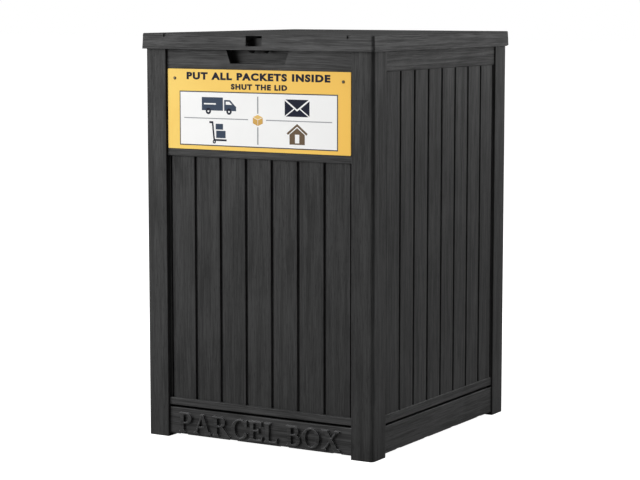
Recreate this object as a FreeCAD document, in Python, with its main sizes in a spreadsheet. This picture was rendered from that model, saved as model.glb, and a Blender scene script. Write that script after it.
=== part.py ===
"""Parcel drop box: a floor-standing moulded resin box with plank-pattern sides and a hinged, lockable lid.

Frame: millimetres, +Z up, the front faces -Y, the origin is on the ground under the centre of the lid.
"""
import FreeCAD, Part
import os
import Sketcher
from FreeCAD import Placement, Rotation, Vector

DRIVING_SIZES = [
    # the whole box
    ("overall_width", 450), ("overall_depth", 500), ("overall_height", 690),
    ("side_overhang", 4), ("front_overhang", 7.5), ("back_overhang", 4.5),
    # corner posts
    ("post_front_width", 41), ("post_side_width", 44), ("post_wall", 3), ("post_lip", 24),
    ("post_radius", 6), ("post_edge_radius", 1.2), ("post_overlap", 12.3),
    # heights on the body: from the floor up, and for each drop from the lid's rim down
    ("skirt_bottom", 5.5), ("skirt_top", 51.7), ("skirt_gap", 3.6),
    ("front_rail_height", 13.1), ("side_rail_height", 14.7), ("sign_rail_drop", 179.9), ("sign_rail_height",
                                                                                         12.4),
    ("sign_height", 134), ("side_top_rail_drop", 32.7),
    # panels: depths are measured inwards from the post faces
    ("front_rail_recess", 4), ("front_plank_recess", 8.2), ("side_rail_recess", 2.2), ("side_plank_recess",
                                                                                       3.4),
    ("back_rail_recess", 6), ("back_plank_recess", 9), ("groove_depth", 4), ("groove_width", 4.6),
    ("panel_skin", 2.2), ("groove_skin", 2), ("panel_gap", 0.2), ("flange_wall", 3),
    ("front_planks", 7), ("side_planks", 8), ("plank_edge_radius", 1.1), ("rail_edge_radius", 1.4),
    ("edge_groove", 5.5), ("rib_wall", 3),
    # finger recess in the front panel's top rail
    ("recess_top_width", 122), ("recess_bottom_width", 106), ("recess_drop", 22.7), ("recess_back", 21),
    ("recess_wall", 3),
    # plinth boards and floor
    ("plinth_recess", 4.5), ("side_plinth_recess", 2.2), ("plinth_wall", 3), ("ledge_depth", 15),
    ("ledge_height", 11),
    ("ear_height", 30), ("notch_rise", 1.1), ("notch_width", 16.5), ("notch_inset", 28.3),
    ("side_notch_inset", 48.3), ("letter_foot_room", 4.5), ("letter_head_room", 7.7), ("letter_side_room",
                                                                                       12),
    ("letter_relief", 4), ("letter_root", 1), ("floor_thickness", 10), ("floor_skin", 3), ("floor_gap", 0.5),
    ("floor_cells", 5),
    # sign
    ("sign_side_gap", 2.3), ("sign_thickness", 2), ("sign_seat", 1), ("sign_gap", 0.6), ("sign_corner", 1.5),
    ("rivet_inset", 14), ("rivet_drop", 15.7), ("rivet_head_radius", 2.6), ("rivet_head", 1.1),
    ("rivet_radius", 1.5), ("rivet_length", 9), ("rivet_clearance", 0.15),
    # lid
    ("rim_height", 26.3), ("lid_wall", 3.2), ("lid_back_wall", 4), ("lid_skin", 3.4), ("lid_draft", 2.6),
    ("lid_corner_radius", 5), ("lid_edge_radius", 2), ("lid_groove_width", 5), ("lid_groove_depth", 1.6),
    ("lid_notch_height", 6), ("lid_notch_depth", 2), ("lid_pad", 4), ("lid_planks", 8), ("lid_plank_border",
                                                                                         46),
    ("lock_slot_width", 31), ("lock_slot_bottom", 6.3), ("lock_slot_height", 17), ("relief_length", 11),
    ("relief_height", 3.3), ("liner_gap", 0.3), ("liner_skin", 2.5), ("liner_inset", 3),
    ("liner_front_inset", 32),
    ("liner_back_inset", 18), ("liner_rib", 2.5), ("liner_cells_across", 4), ("liner_cells_along", 4),
    # lock bracket
    ("bracket_slot_gap", 1.7), ("ear_thickness", 4), ("bracket_plate_depth", 10.5), ("bracket_plate", 2.5),
    ("bracket_reach", 3), ("bracket_rise", 19.3), ("bracket_drop", 5.2), ("lock_pin_radius", 2.5),
    ("lock_pin_rise", 2.9), ("lock_pin_clearance", 0.05),
    # hinges
    ("hinge_inset", 49.8), ("hinge_length", 66), ("hinge_axis_drop", 4.5),
    ("knuckle_radius", 4), ("hinge_pin_radius", 2.5), ("hinge_clearance", 0.06), ("knuckle_gap", 0.4),
    ("leaf_thickness", 2), ("leaf_height", 36), ("lid_leaf_rise", 19.3), ("pin_head_radius", 3.6),
    ("pin_head", 1.5),
    # fasteners
    ("screw_radius", 1.9), ("screw_head_radius", 3.6), ("screw_head", 2.2), ("screw_clearance", 0.15),
    ("screw_length", 9), ("screw_depth", 19), ("screw_tip", 2.5), ("screw_overrun", 1.5), ("blind_skin", 1.3),
    ("blind_gap", 0.2), ("drive_width", 0.9), ("drive_reach", 2.1),
]


class Size:
    """A length that carries both its number and the spreadsheet expression that it comes from."""

    def __init__(self, value, text):
        self.value, self.text = float(value), text

    @staticmethod
    def of(other):
        return other if isinstance(other, Size) else Size(other, f"({float(other)})")

    def joined(self, other, sign, value):
        return Size(value, f"({self.text} {sign} {other.text})")

    def __add__(self, other):
        other = Size.of(other)
        return self.joined(other, "+", self.value + other.value)

    def __sub__(self, other):
        other = Size.of(other)
        return self.joined(other, "-", self.value - other.value)

    def __mul__(self, other):
        other = Size.of(other)
        return self.joined(other, "*", self.value * other.value)

    def __truediv__(self, other):
        other = Size.of(other)
        return self.joined(other, "/", self.value / other.value)

    def __radd__(self, other):
        return Size.of(other) + self

    def __rsub__(self, other):
        return Size.of(other) - self

    def __rmul__(self, other):
        return Size.of(other) * self

    def __neg__(self):
        return Size(-self.value, f"(0 - {self.text})")


doc = FreeCAD.newDocument("parcel_drop_box")
sheet = doc.addObject("Spreadsheet::Sheet", "Sizes")
for row, (alias, number) in enumerate(DRIVING_SIZES, 1):
    sheet.set(f"A{row}", alias)
    sheet.set(f"B{row}", str(number))
    sheet.setAlias(f"B{row}", alias)
doc.recompute()


class Sizes:
    """Every driving size by name, as a Size."""


for alias, number in DRIVING_SIZES:
    setattr(Sizes, alias, Size(number, f"Sizes.{alias}"))
s = Sizes
nodes = []


# ---------------------------------------------------------------- building blocks

def block(name, across, along, up):
    """A Part::Box between two sizes on each axis, in either order."""
    box = doc.addObject("Part::Box", name)
    for prop, letter, ends in (("Length", "x", across), ("Width", "y", along), ("Height", "z", up)):
        low, high = sorted((Size.of(end) for end in ends), key=lambda end: end.value)
        box.setExpression(prop, (high - low).text)
        box.setExpression(f"Placement.Base.{letter}", low.text)
    return box


def rod(name, axis, start, radius, length):
    """A Part::Cylinder that runs from a start point in the direction of one axis."""
    turns = {"x": Rotation(Vector(0, 1, 0), 90), "y": Rotation(Vector(1, 0, 0), -90), "z": Rotation()}
    cylinder = doc.addObject("Part::Cylinder", name)
    cylinder.Placement = Placement(Vector(), turns[axis])
    cylinder.setExpression("Radius", Size.of(radius).text)
    cylinder.setExpression("Height", Size.of(length).text)
    for letter, size in zip("xyz", start):
        cylinder.setExpression(f"Placement.Base.{letter}", Size.of(size).text)
    return cylinder


def outline(body, name, plane, offset, points):
    """A closed sketch of straight lines whose every corner is bound to the sheet."""
    origin = [feature for feature in body.Origin.OriginFeatures if feature.Role == plane + "_Plane"][0]
    sketch = body.newObject("Sketcher::SketchObject", name)
    sketch.AttachmentSupport = [(origin, "")]
    sketch.MapMode = "FlatFace"
    sketch.setExpression("AttachmentOffset.Base.z", offset.text)
    points = [(Size.of(first), Size.of(second)) for first, second in points]
    corners = [Vector(first.value, second.value, 0) for first, second in points]
    for here, there in zip(corners, corners[1:] + corners[:1]):
        sketch.addGeometry(Part.LineSegment(here, there))
    for index in range(len(points)):
        following = (index + 1) % len(points)
        sketch.addConstraint(Sketcher.Constraint("Coincident", index, 2, following, 1))
    for index, pair in enumerate(points):
        for kind, size in zip(("DistanceX", "DistanceY"), pair):
            number = sketch.addConstraint(Sketcher.Constraint(kind, -1, 1, index, 1, size.value))
            sketch.setExpression(f"Constraints[{number}]", size.text)
    return sketch


def prism(name, plane, points, ends):
    """A PartDesign body: a sketched outline padded between two sizes along the plane's normal."""
    low, high = sorted((Size.of(end) for end in ends), key=lambda end: end.value)
    body = doc.addObject("PartDesign::Body", name)
    offset = -high if plane == "XZ" else low
    sketch = outline(body, name + "_sketch", plane, offset, points)
    doc.recompute()
    pad = body.newObject("PartDesign::Pad", name + "_pad")
    pad.Profile = sketch
    pad.setExpression("Length", (high - low).text)
    doc.recompute()
    return body


def fuse(name, pieces):
    joined = doc.addObject("Part::MultiFuse", name)
    joined.Shapes = pieces
    joined.Refine = True
    return joined


def cut(name, base, tools):
    result = doc.addObject("Part::Cut", name)
    result.Base = base
    result.Tool = tools[0] if len(tools) == 1 else fuse(name + "_tools", tools)
    result.Refine = True
    return result


def edges_where(shape, test):
    return [index for index, edge in enumerate(shape.Edges, 1) if test(edge, edge.CenterOfMass)]


def rounded(name, base, radius, test):
    """A Part::Fillet on the edges that a test picks by their middle point."""
    doc.recompute()
    picked = edges_where(base.Shape, test)
    if not picked:
        raise ValueError(f"{name}: no edge to round")
    fillet = doc.addObject("Part::Fillet", name)
    fillet.Base = base
    fillet.Edges = [(index, radius.value, radius.value) for index in picked]
    return fillet


def near(first, second):
    return abs(first - second) < 1e-4


def along_axis(edge, letter):
    """True for a straight edge that runs along x, y or z."""
    first, last = edge.Vertexes[0].Point, edge.Vertexes[-1].Point
    step = last - first
    lengths = {"x": abs(step.x), "y": abs(step.y), "z": abs(step.z)}
    own = lengths.pop(letter)
    return own > 1e-3 and max(lengths.values()) < 1e-3


def node(label, shape_object):
    """Registers a finished sub-part: its Label is its file's name."""
    shape_object.Label = label
    nodes.append(shape_object)
    return shape_object


def placed(shape_object, turn, across, along):
    """Stands a panel, built along +X with its depth along +Y, on one side of the box."""
    shape_object.Placement = Placement(Vector(), Rotation(Vector(0, 0, 1), turn))
    shape_object.setExpression("Placement.Base.x", Size.of(across).text)
    shape_object.setExpression("Placement.Base.y", Size.of(along).text)
    return shape_object


# ---------------------------------------------------------------- shared places

half_width = s.overall_width / 2 - s.side_overhang
body_front = -s.overall_depth / 2 + s.front_overhang
body_back = s.overall_depth / 2 - s.back_overhang
body_middle = (body_front + body_back) / 2
panel_bottom = s.skirt_top + s.skirt_gap
rim_bottom = s.overall_height - s.rim_height
body_top = rim_bottom + s.post_overlap
front_rail_top = panel_bottom + s.front_rail_height
side_rail_top = panel_bottom + s.side_rail_height
side_top_rail_bottom = rim_bottom - s.side_top_rail_drop
sign_rail_bottom = rim_bottom - s.sign_rail_drop
sign_bottom = sign_rail_bottom + s.sign_rail_height + s.sign_gap
sign_top = sign_bottom + s.sign_height
front_span = 2 * (half_width - s.post_front_width - s.panel_gap)
sign_width = front_span - 2 * s.sign_side_gap
side_span = body_back - body_front - 2 * (s.post_side_width + s.panel_gap)
screw_heights = [s.skirt_top + 28, s.skirt_top + 210, s.skirt_top + 400, body_top - 70]
ear_screw_height = (s.ear_height + s.skirt_top) / 2
hole_radius = s.screw_radius + s.screw_clearance
recess_floor = rim_bottom - s.recess_drop
bracket_spread = s.lock_slot_width - 2 * s.bracket_slot_gap
bracket_top = rim_bottom + s.bracket_rise
bracket_tip = rim_bottom - s.bracket_drop
lock_pin_height = rim_bottom + s.lock_pin_rise
hinge_axis_height = rim_bottom - s.hinge_axis_drop
lid_leaf_top = rim_bottom + s.lid_leaf_rise

# the four sides: turn about +Z, then the place of the post faces' middle
SIDES = {
    "front": (0, 0, body_front),
    "back": (180, 0, body_back),
    "right": (90, half_width, body_middle),
    "left": (-90, -half_width, body_middle),
}


# ---------------------------------------------------------------- corner posts

def corner_post(label, side, end, outer_y):
    """An L-shaped moulded post with a lip along each free edge; side is -1 or 1, and so is end."""
    def across(size):
        return side * (half_width - size)

    def along(size):
        return outer_y - end * size

    wide, deep, wall, lip = s.post_front_width, s.post_side_width, s.post_wall, s.post_lip
    corners = [(0, 0), (wide, 0), (wide, lip), (wide - wall, lip), (wide - wall, wall), (wall, wall),
               (wall, deep - wall), (lip, deep - wall), (lip, deep), (0, deep)]
    post = prism(label + "_angle", "XY", [(across(a), along(b)) for a, b in corners], (0, body_top))
    holes = []
    for index, height in enumerate(screw_heights + [ear_screw_height]):
        start = across(wide + 1) if side > 0 else across(wide - wall - 1)
        holes.append(rod(f"{label}_front_hole_{index}", "x", (start, along(s.screw_depth), height),
                         hole_radius, wall + 2))
        start = along(deep + 1) if end > 0 else along(deep - wall - 1)
        holes.append(rod(f"{label}_side_hole_{index}", "y", (across(s.screw_depth), start, height),
                         hole_radius, wall + 2))
    drilled = cut(label + "_drilled", post, holes)
    corner_x, corner_y = across(0).value, along(0).value
    outside = rounded(label + "_corner", drilled, s.post_radius,
                      lambda edge, mid: along_axis(edge, "z") and near(mid.x, corner_x) and near(mid.y,
                                                                                                 corner_y))
    inner_x, inner_y = across(wall).value, along(wall).value
    inside = rounded(label + "_inner", outside, s.post_radius - wall,
                     lambda edge, mid: along_axis(edge, "z") and near(mid.x, inner_x) and near(mid.y,
                                                                                               inner_y))
    ends = [(across(wide).value, corner_y), (corner_x, along(deep).value)]
    return node(label, rounded(label, inside, s.post_edge_radius, lambda edge, mid: along_axis(edge,
                                                                                               "z") and any(
        near(mid.x, x) and near(mid.y, y) for x, y in ends)))


for row_name, end, outer_y in (("front", -1, body_front), ("back", 1, body_back)):
    for column_name, side in (("left", -1), ("right", 1)):
        corner_post(f"corner_post_{row_name}_{column_name}", side, end, outer_y)


# ---------------------------------------------------------------- wall panels

def rounded_strip(name, across, along, up, radius, letter):
    """A board whose front edges along one axis are rounded; its front face is the lower y."""
    board = block(name + "_board", across, along, up)
    front = min(Size.of(end).value for end in along)
    return rounded(name, board, radius, lambda edge, mid: along_axis(edge, letter) and near(mid.y, front))


def wall_panel(side_name, span, planks, rail_recess, plank_recess, rail_top, field_bottom):
    """A ribbed, single-skin moulding: planks between rails, with an end flange that meets each post."""
    name = side_name + "_panel"
    half = span / 2
    plank_top = field_bottom
    groove_bottom = plank_recess + s.groove_depth
    back_face = groove_bottom + s.groove_skin
    field = span - 2 * s.edge_groove + s.groove_width
    pitch = field / planks
    pieces = [block(name + "_sheet", (-half, half), (groove_bottom, back_face), (panel_bottom, body_top))]
    hollows = []
    count = int(planks.value)
    for index in range(count):
        low = -half + s.edge_groove + pitch * index
        high = low + pitch - s.groove_width
        pieces.append(rounded_strip(f"{name}_plank_{index}", (low, high), (plank_recess, groove_bottom + 1),
                                    (rail_top - 1, plank_top + 1), s.plank_edge_radius, "z"))
        hollows.append(block(f"{name}_hollow_{index}", (low + s.rib_wall, high - s.rib_wall),
                             (plank_recess + s.panel_skin, back_face + 1), (rail_top + 2, plank_top - 2)))
    pieces.append(rounded_strip(name + "_bottom_rail", (-half, half), (rail_recess, groove_bottom + 1),
                                (panel_bottom, rail_top), s.rail_edge_radius, "x"))
    pieces.append(rounded_strip(name + "_top_field", (-half, half), (rail_recess, groove_bottom + 1),
                                (field_bottom, body_top), s.rail_edge_radius, "x"))
    for index, edge in enumerate((-1, 1)):
        pieces.append(block(f"{name}_flange_{index}", (edge * half, edge * (half - s.flange_wall)),
                            (plank_recess, s.post_lip), (panel_bottom, body_top)))
        start = -half - 1 if edge < 0 else half - s.flange_wall - 1
        for level, height in enumerate(screw_heights):
            hollows.append(rod(f"{name}_hole_{index}_{level}", "x", (start, s.screw_depth, height),
                               hole_radius, s.flange_wall + 2))
    return pieces, hollows, back_face


def field_hollows(name, half, low, high, skin_depth, back_face, cells):
    """Pockets that hollow a solid field from inside the box, with ribs between them."""
    clear = s.flange_wall + s.rib_wall
    pitch = (2 * (half - clear) + s.rib_wall) / cells
    pockets = []
    for index in range(cells):
        left = -half + clear + pitch * index
        pockets.append(block(f"{name}_{index}", (left, left + pitch - s.rib_wall), (skin_depth,
                                                                                    back_face + 1),
                             (low, high)))
    return pockets


def front_panel():
    pieces, hollows, back_face = wall_panel("front", front_span, s.front_planks, s.front_rail_recess,
                                            s.front_plank_recess, front_rail_top, sign_rail_bottom)
    half = front_span / 2
    housing = s.recess_top_width / 2 + s.recess_wall
    housing_bottom = recess_floor - s.recess_wall
    recess_housing = block("recess_housing", (-housing, housing), (s.front_plank_recess,
                                                                   s.recess_back + s.recess_wall),
                           (housing_bottom, body_top))
    slope = (s.recess_top_width - s.recess_bottom_width) / 2
    low, high = s.recess_bottom_width / 2, s.recess_top_width / 2
    recess = prism("finger_recess", "XZ", [(-low, recess_floor), (low, recess_floor), (high, rim_bottom),
                                           (high, body_top + 2), (-high, body_top + 2), (-high, rim_bottom)],
                   (s.front_rail_recess - 4, s.recess_back))
    seat = block("sign_seat", (-half - 1, half + 1), (s.front_rail_recess - 3,
                                                      s.front_rail_recess + s.sign_seat),
                 (sign_bottom - s.sign_gap, sign_top + s.sign_gap))
    seat_skin = s.front_rail_recess + s.sign_seat + 3
    middle_rib = (sign_bottom + sign_top) / 2
    hollows += field_hollows("sign_hollow_low", half, sign_bottom, middle_rib - 2, seat_skin, back_face, 4)
    hollows += field_hollows("sign_hollow_high", half, middle_rib + 2, sign_top - 2, seat_skin, back_face, 4)
    for index, edge in enumerate((-1, 1)):
        hollows.append(block(f"top_rail_hollow_{index}", (edge * (housing + s.rib_wall), edge * (half - 6)),
                             (s.front_rail_recess + 3, back_face + 1), (sign_top + 5, body_top + 1)))
        hollows.append(rod(f"rivet_hole_{index}", "y", (edge * rivet_x, s.front_rail_recess - 3, rivet_z),
                           s.rivet_radius + s.rivet_clearance, s.groove_depth + 14))
        hollows.append(rod(f"bracket_hole_{index}", "y", (edge * bracket_screw_x, s.recess_back - 2,
                                                          bracket_screw_z),
                           hole_radius, s.recess_wall + 4))
    solid = fuse("front_panel_solid", pieces + [recess_housing])
    panel = cut("front_panel", solid, hollows + [recess, seat])
    return node("front_panel", placed(panel, *SIDES["front"]))


def plain_panel(side_name, span, planks, rail_recess, plank_recess, extra_holes=()):
    pieces, hollows, back_face = wall_panel(side_name, span, planks, rail_recess, plank_recess, side_rail_top,
                                            side_top_rail_bottom)
    skin = rail_recess + 2.6
    hollows += field_hollows(side_name + "_rail_hollow", span / 2, side_top_rail_bottom + 3, body_top + 1,
                             skin,
                             back_face, 4)
    solid = fuse(side_name + "_panel_solid", pieces)
    panel = cut(side_name + "_panel", solid, hollows + list(extra_holes))
    return node(side_name + "_panel", placed(panel, *SIDES[side_name]))


rivet_x = sign_width / 2 - s.rivet_inset
rivet_z = sign_top - s.rivet_drop
bracket_screw_x = bracket_spread / 4
bracket_screw_z = (bracket_tip + bracket_top) / 2 + 1
hinge_screw_x = s.hinge_length / 2 - 9
leaf_bottom = hinge_axis_height + s.knuckle_radius - s.leaf_height
leaf_screw_z = leaf_bottom + 10
hinge_centres = [s.hinge_inset - front_span / 2, front_span / 2 - s.hinge_inset]

hinge_holes = []
for number, centre in enumerate(hinge_centres):
    for index, edge in enumerate((-1, 1)):
        hinge_holes.append(rod(f"hinge_hole_{number}_{index}", "y", (centre + edge * hinge_screw_x,
                                                                     s.back_rail_recess - 1, leaf_screw_z),
                               hole_radius, 20))

front_panel()
plain_panel("back", front_span, s.front_planks, s.back_rail_recess, s.back_plank_recess, hinge_holes)
plain_panel("right", side_span, s.side_planks, s.side_rail_recess, s.side_plank_recess)
plain_panel("left", side_span, s.side_planks, s.side_rail_recess, s.side_plank_recess)


# ---------------------------------------------------------------- raised serif capitals

def plate(points):
    corners = [Vector(x, 0, z) for x, z in points]
    return Part.Face(Part.makePolygon(corners + corners[:1]))


def bar(low_x, low_z, high_x, high_z):
    return plate([(low_x, low_z), (high_x, low_z), (high_x, high_z), (low_x, high_z)])


def oval(middle_x, middle_z, radius_x, radius_z):
    """An elliptical face in the XZ plane."""
    if radius_x >= radius_z:
        curve = Part.Ellipse(Vector(), radius_x, radius_z)
        turn = 0
    else:
        curve = Part.Ellipse(Vector(), radius_z, radius_x)
        turn = 90
    face = Part.Face(Part.Wire([curve.toShape()]))
    face.rotate(Vector(), Vector(0, 0, 1), turn)
    face.rotate(Vector(), Vector(1, 0, 0), 90)
    face.translate(Vector(middle_x, 0, middle_z))
    return face


def joined(faces):
    return faces[0].multiFuse(faces[1:])


class Capitals:
    """Roman capitals: thick stems, thin arms and bracketed serifs, all in shares of the cap height."""

    def __init__(self, height):
        self.tall = height
        self.stem, self.thin = 0.19 * height, 0.085 * height
        self.serif, self.foot = 0.09 * height, 0.05 * height

    def post(self, left, thickness=None):
        """A vertical stem with a bracketed serif at both ends."""
        wide = self.stem if thickness is None else thickness
        return joined([bar(left, 0, left + wide, self.tall), self.serif_at(left, left + wide, 0, 1),
                       self.serif_at(left, left + wide, self.tall, -1)])

    def serif_at(self, left, right, level, up):
        rise = self.foot * 2.4
        return plate([(left - self.serif, level), (right + self.serif, level), (right + self.serif,
                                                                                level + up * self.foot),
                      (right, level + up * rise), (left, level + up * rise), (left - self.serif,
                                                                              level + up * self.foot)])

    def bowl(self, left, low, high, reach):
        """A half-round bowl to the right of a stem, thick at its side and thin at its ends."""
        middle, radius_z = (low + high) / 2, (high - low) / 2
        straight = left + self.stem + 0.16 * self.tall
        radius_x = left + reach - straight
        outer = joined([bar(left, low, straight, high), oval(straight, middle, radius_x, radius_z)])
        inner = joined([bar(left + self.stem, low + self.thin, straight, high - self.thin),
                        oval(straight, middle, radius_x - self.stem * 1.05, radius_z - self.thin)])
        return outer.cut(inner)

    def arm(self, left, right, level, barb):
        """A thin arm that ends in a vertical barb; barb is its rise above and fall below."""
        above, below = barb
        tip = plate([(right - 0.10 * self.tall, level), (right, level - below), (right,
                                                                                 level + self.thin + above),
                     (right - 0.10 * self.tall, level + self.thin)])
        return joined([bar(left, level, right - 0.05 * self.tall, level + self.thin), tip])

    def letter_p(self):
        return joined([self.post(self.serif), self.bowl(self.serif, 0.44 * self.tall, self.tall,
                                                        0.66 * self.tall)])

    def letter_r(self):
        left, tall = self.serif, self.tall
        leg = plate([(left + 0.30 * tall, 0.48 * tall), (left + 0.52 * tall, 0.48 * tall),
                     (left + 0.88 * tall, self.foot),
                     (left + 0.93 * tall, self.foot), (left + 0.93 * tall, 0), (left + 0.66 * tall, 0)])
        return joined([self.post(left), self.bowl(left, 0.46 * tall, tall, 0.66 * tall), leg])

    def letter_b(self):
        left, tall = self.serif, self.tall
        return joined([self.post(left), self.bowl(left, 0.50 * tall, tall, 0.62 * tall),
                       self.bowl(left, 0, 0.58 * tall, 0.70 * tall)])

    def letter_a(self):
        tall = self.tall
        foot, peak = 0.08 * tall, 0.46 * tall
        thin = plate([(foot, 0), (foot + 0.09 * tall, 0), (peak + 0.09 * tall, tall), (peak, tall)])
        thick = plate([(peak - 0.06 * tall, tall), (peak + 0.12 * tall, tall), (0.96 * tall, 0),
                       (0.74 * tall, 0)])
        crossing = bar(0.24 * tall, 0.30 * tall, 0.76 * tall, 0.30 * tall + self.thin)
        return joined([thin, thick, crossing, self.serif_at(foot - 0.01 * tall, foot + 0.10 * tall, 0, 1),
                       self.serif_at(0.76 * tall, 0.94 * tall, 0, 1)])

    def letter_e(self):
        left, tall = self.serif, self.tall
        return joined([self.post(left), self.arm(left, left + 0.66 * tall, tall - self.thin, (0,
                                                                                              0.17 * tall)),
                       self.arm(left, left + 0.50 * tall, 0.48 * tall, (0.09 * tall, 0.09 * tall)),
                       self.arm(left, left + 0.70 * tall, 0, (0.18 * tall, 0))])

    def letter_l(self):
        left, tall = self.serif, self.tall
        return joined([self.post(left), self.arm(left, left + 0.66 * tall, 0, (0.20 * tall, 0))])

    def round_ring(self):
        """A stressed ring: thick at the sides, thin at top and bottom."""
        tall = self.tall
        reach = 0.50 * tall
        return oval(reach, tall / 2, reach, tall / 2).cut(
            oval(reach, tall / 2, reach - self.stem * 1.08, tall / 2 - self.thin * 0.8))

    def letter_o(self):
        return self.round_ring()

    def letter_c(self):
        tall = self.tall
        gap = plate([(0.52 * tall, 0.50 * tall), (1.3 * tall, 0.93 * tall), (1.3 * tall, 0.11 * tall)])
        barb = plate([(0.84 * tall, 0.66 * tall), (0.91 * tall, 0.66 * tall), (0.91 * tall, 0.99 * tall),
                      (0.86 * tall, 0.99 * tall), (0.74 * tall, 0.86 * tall)])
        side = bar(0.90 * tall, 0, 1.3 * tall, tall)
        return joined([self.round_ring().cut(gap).cut(side), barb])

    def letter_x(self):
        tall = self.tall
        thick = plate([(0.07 * tall, tall), (0.30 * tall, tall), (0.95 * tall, 0), (0.72 * tall, 0)])
        thin = plate([(0.08 * tall, 0), (0.18 * tall, 0), (0.90 * tall, tall), (0.80 * tall, tall)])
        serifs = [self.serif_at(0.08 * tall, 0.26 * tall, tall, -1), self.serif_at(0.76 * tall, 0.94 * tall,
                                                                                   0, 1),
                  self.serif_at(0.08 * tall, 0.18 * tall, 0, 1), self.serif_at(0.80 * tall, 0.90 * tall,
                                                                               tall, -1)]
        return joined([thick, thin] + serifs)


LETTER_SPACING = 3.6 / 34
WORD_GAP = 14 / 34


def lettering(words, height, relief):
    """The words as one row of raised solids centred on x = 0, standing on z = 0, towards -Y, and its length.

    The spaces between letters and words are shares of the cap height.
    """
    capitals = Capitals(height)
    spacing, word_gap = LETTER_SPACING * height, WORD_GAP * height
    shapes, cursor = [], 0.0
    for character in words:
        if character == " ":
            cursor += word_gap
            continue
        face = getattr(capitals, "letter_" + character.lower())()
        box = face.BoundBox
        face.translate(Vector(cursor - box.XMin, 0, 0))
        cursor += box.XLength + spacing
        shapes.append(face.extrude(Vector(0, -relief, 0)))
    half_length = (cursor - spacing) / 2
    for shape in shapes:
        shape.translate(Vector(-half_length, 0, 0))
    return shapes, 2 * half_length


def fitted_lettering(words, height, room, relief):
    """The lettering at its board's height, or smaller where the row would be longer than its room."""
    shapes, length = lettering(words, height, relief)
    if length > room:
        shapes, length = lettering(words, height * room / length, relief)
    return shapes


# ---------------------------------------------------------------- plinth boards

def plinth(side_name, span, recess, notch_centres, raised=()):
    """A skirting board between two posts, with an inward ledge for the floor and an ear at each end."""
    name = side_name + "_plinth"
    half = span / 2
    board = rounded_strip(name + "_face", (-half, half), (recess, recess + s.plinth_wall), (s.skirt_bottom,
                                                                                            s.skirt_top),
                          s.rail_edge_radius, "x")
    inner = recess + s.plinth_wall
    pieces = [board,
              block(name + "_ledge", (-half, half), (inner - 1, inner + s.ledge_depth),
                    (s.ledge_height, s.ledge_height + s.plinth_wall)),
              block(name + "_cap", (-half, half), (inner - 1, inner + 6), (s.skirt_top - 3,
                                                                           s.skirt_top - 0.5))]
    tools = []
    for index, edge in enumerate((-1, 1)):
        pieces.append(block(f"{name}_ear_{index}", (edge * half, edge * (half - s.flange_wall)), (recess,
                                                                                                  s.post_lip),
                            (s.ear_height, s.skirt_top - 0.5)))
        start = -half - 1 if edge < 0 else half - s.flange_wall - 1
        tools.append(rod(f"{name}_ear_hole_{index}", "x", (start, s.screw_depth, ear_screw_height),
                         hole_radius,
                         s.flange_wall + 2))
        tools.append(rod(f"{name}_ledge_hole_{index}", "z", (edge * floor_screw_share * half,
                                                             inner + s.ledge_depth / 2,
                                                             s.ledge_height - 1), hole_radius,
                                                             s.plinth_wall + 2))
    for index, centre in enumerate(notch_centres):
        tools.append(block(f"{name}_notch_{index}", (centre - s.notch_width / 2, centre + s.notch_width / 2),
                           (recess - 1, inner + 1), (s.skirt_bottom - 1, s.skirt_bottom + s.notch_rise)))
    solid = fuse(name + "_solid", pieces + list(raised))
    return node(name, placed(cut(name, solid, tools), *SIDES[side_name]))


floor_screw_share = 0.6


def notch_places(span, inset):
    """Four notches along a board's foot, evenly spaced between two insets."""
    pitch = (span - 2 * inset) / 3
    return [pitch * step for step in (-1.5, -0.5, 0.5, 1.5)]


letter_base = s.skirt_bottom + s.letter_foot_room
letter_height = s.skirt_top - s.letter_head_room - letter_base
letter_room = front_span - 2 * s.letter_side_room
letters = doc.addObject("Part::Feature", "raised_letters")
letters.Shape = Part.makeCompound(fitted_lettering("PARCEL BOX", letter_height.value, letter_room.value,
                                                   (s.letter_relief + s.letter_root).value))
letters.Placement = Placement(Vector(0, (s.plinth_recess + s.letter_root).value, letter_base.value),
                              Rotation())

front_notches, side_notches = notch_places(front_span, s.notch_inset), notch_places(side_span,
                                                                                    s.side_notch_inset)
plinth("front", front_span, s.plinth_recess, front_notches, [letters])
plinth("back", front_span, s.plinth_recess, front_notches)
plinth("right", side_span, s.side_plinth_recess, side_notches)
plinth("left", side_span, s.side_plinth_recess, side_notches)


# ---------------------------------------------------------------- floor

floor_low = s.ledge_height + s.plinth_wall
floor_high = floor_low + s.floor_thickness
floor_half = half_width - s.side_plinth_recess - s.plinth_wall - s.floor_gap
floor_front = body_front + s.plinth_recess + s.plinth_wall + s.floor_gap
floor_back = body_back - s.plinth_recess - s.plinth_wall - s.floor_gap
narrow = front_span / 2
post_line_front = body_front + s.post_side_width + s.floor_gap
post_line_back = body_back - s.post_side_width - s.floor_gap


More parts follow.
